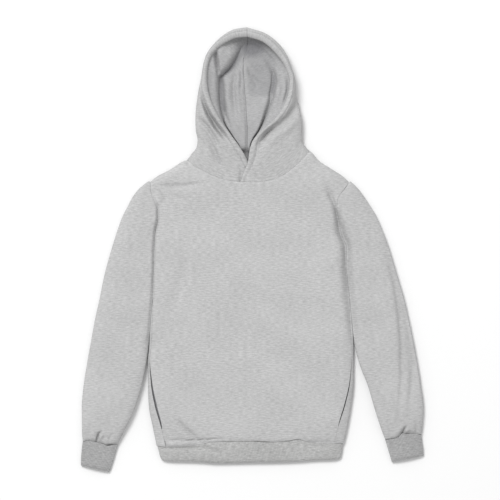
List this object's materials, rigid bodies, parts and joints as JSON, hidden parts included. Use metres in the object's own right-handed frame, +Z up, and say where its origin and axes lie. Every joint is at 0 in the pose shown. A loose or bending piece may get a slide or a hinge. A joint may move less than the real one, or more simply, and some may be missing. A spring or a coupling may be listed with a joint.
{
  "type": "pullover hoodie",
  "caption": "Plain heather grey pullover hoodie lying flat on its back, with a lapped lined hood, side-seam pockets and ribbed cuffs and hem band.",
  "frame": {"origin": "middle of the bounding box in plan, on the surface that the garment lies on", "axes": "+X towards the wearer's left sleeve, +Y from the hem towards the hood, +Z up, away from the surface"},
  "size_m": [0.7876, 1.0212, 0.041],
  "materials": {
    "body_fleece": "heather grey brushed-back fleece",
    "sleeve_fleece": "heather grey brushed-back fleece",
    "rib": "heather grey rib knit",
    "hood_fleece": "heather grey brushed-back fleece",
    "hood_lining": "heather grey self-fabric hood lining",
    "pocketing": "plain grey knit pocketing"
  },
  "bodies": {
    "root": {"front_body": "body_fleece", "back_body": "body_fleece", "sleeve_left": "sleeve_fleece", "sleeve_right": "sleeve_fleece", "cuff_left": "rib", "cuff_right": "rib", "hem_band": "rib", "hood_outer_left": "hood_fleece", "hood_outer_right": "hood_fleece", "hood_lining_left": "hood_lining", "hood_lining_right": "hood_lining", "pocket_bag_left": "pocketing", "pocket_bag_right": "pocketing"}
  },
  "joints": []
}
